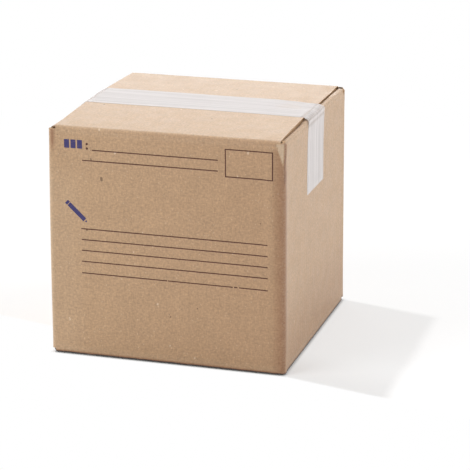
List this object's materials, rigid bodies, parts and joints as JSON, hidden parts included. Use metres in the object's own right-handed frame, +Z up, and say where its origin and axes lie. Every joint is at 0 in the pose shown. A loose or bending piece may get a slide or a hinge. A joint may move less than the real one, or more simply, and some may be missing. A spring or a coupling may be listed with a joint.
{
  "type": "shipping box",
  "caption": "Closed corrugated shipping box, folded from one slotted blank and shut with clear tape over the seams.",
  "frame": {"origin": "on the floor under the middle of the box", "axes": "+Z up, the printed front panel faces -Y, the taped seams run along X"},
  "size_m": [0.1906, 0.19, 0.1871],
  "materials": {
    "board": "matte brown kraft liner",
    "tape": "whitish translucent film"
  },
  "bodies": {
    "root": {"carton": "board", "top_tape": "tape", "bottom_tape": "tape"}
  },
  "joints": []
}
